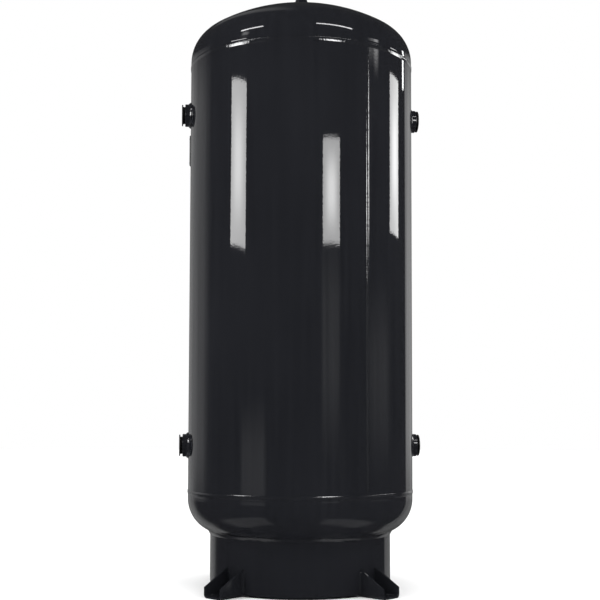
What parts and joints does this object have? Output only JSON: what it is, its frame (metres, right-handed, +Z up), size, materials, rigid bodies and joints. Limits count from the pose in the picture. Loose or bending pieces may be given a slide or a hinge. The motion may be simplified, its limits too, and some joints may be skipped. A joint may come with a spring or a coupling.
{
  "type": "air receiver tank",
  "caption": "Vertical compressed-air receiver: welded cylinder with dished heads on a ring base with feet, and threaded ports closed by plugs.",
  "frame": {"origin": "on the tank's axis, in the plane of the feet's undersides, at the centre of the foot bolt circle", "axes": "+Z up the tank's axis; -Y towards the viewer; -X to the side with the data plate and the ring's pipe opening"},
  "size_m": [0.8234, 0.7676, 2.0358],
  "materials": {
    "tank_enamel": "high-gloss black enamel with light orange peel",
    "plug_plastic": "satin moulded polyethylene",
    "plate_metal": "brushed",
    "rivet_metal": "satin"
  },
  "bodies": {
    "tank": {"shell": "tank_enamel", "long_seam_weld": "tank_enamel", "top_head": "tank_enamel", "bottom_head": "tank_enamel", "top_girth_weld": "tank_enamel", "bottom_girth_weld": "tank_enamel", "skirt": "tank_enamel", "skirt_seam_weld": "tank_enamel", "skirt_head_weld": "tank_enamel", "foot_rear_right": "tank_enamel", "foot_weld_rear_right": "tank_enamel", "foot_rear_left": "tank_enamel", "foot_weld_rear_left": "tank_enamel", "foot_front_left": "tank_enamel", "foot_weld_front_left": "tank_enamel", "foot_front_right": "tank_enamel", "foot_weld_front_right": "tank_enamel", "port_left_upper": "tank_enamel", "port_weld_left_upper": "tank_enamel", "port_left_lower": "tank_enamel", "port_weld_left_lower": "tank_enamel", "port_right_upper": "tank_enamel", "port_weld_right_upper": "tank_enamel", "port_right_lower": "tank_enamel", "port_weld_right_lower": "tank_enamel", "port_top": "tank_enamel", "port_weld_top": "tank_enamel", "port_drain": "tank_enamel", "port_weld_drain": "tank_enamel", "nameplate_bracket": "tank_enamel", "bracket_welds": "tank_enamel", "data_plate": "plate_metal", "data_plate_rivets": "rivet_metal"},
    "plug_left_upper": {"plug_left_upper": "plug_plastic"},
    "plug_left_lower": {"plug_left_lower": "plug_plastic"},
    "plug_right_upper": {"plug_right_upper": "plug_plastic"},
    "plug_right_lower": {"plug_right_lower": "plug_plastic"},
    "plug_top": {"plug_top": "plug_plastic"},
    "plug_drain": {"plug_drain": "plug_plastic"}
  },
  "joints": [
    {"name": "plug_left_upper_slide", "type": "slide", "parent": "tank", "child": "plug_left_upper", "axis": [-0.9971, -0.0767, 0], "range_m": [0, 0.12]},
    {"name": "plug_left_lower_slide", "type": "slide", "parent": "tank", "child": "plug_left_lower", "axis": [-0.9971, -0.0767, 0], "range_m": [0, 0.12]},
    {"name": "plug_right_upper_slide", "type": "slide", "parent": "tank", "child": "plug_right_upper", "axis": [0.9971, 0.0767, 0], "range_m": [0, 0.12]},
    {"name": "plug_right_lower_slide", "type": "slide", "parent": "tank", "child": "plug_right_lower", "axis": [0.9971, 0.0767, 0], "range_m": [0, 0.12]},
    {"name": "plug_top_slide", "type": "slide", "parent": "tank", "child": "plug_top", "axis": [0, 0, 1], "range_m": [0, 0.1]},
    {"name": "plug_drain_slide", "type": "slide", "parent": "tank", "child": "plug_drain", "axis": [0, 0, -1], "range_m": [0, 0.05]}
  ]
}
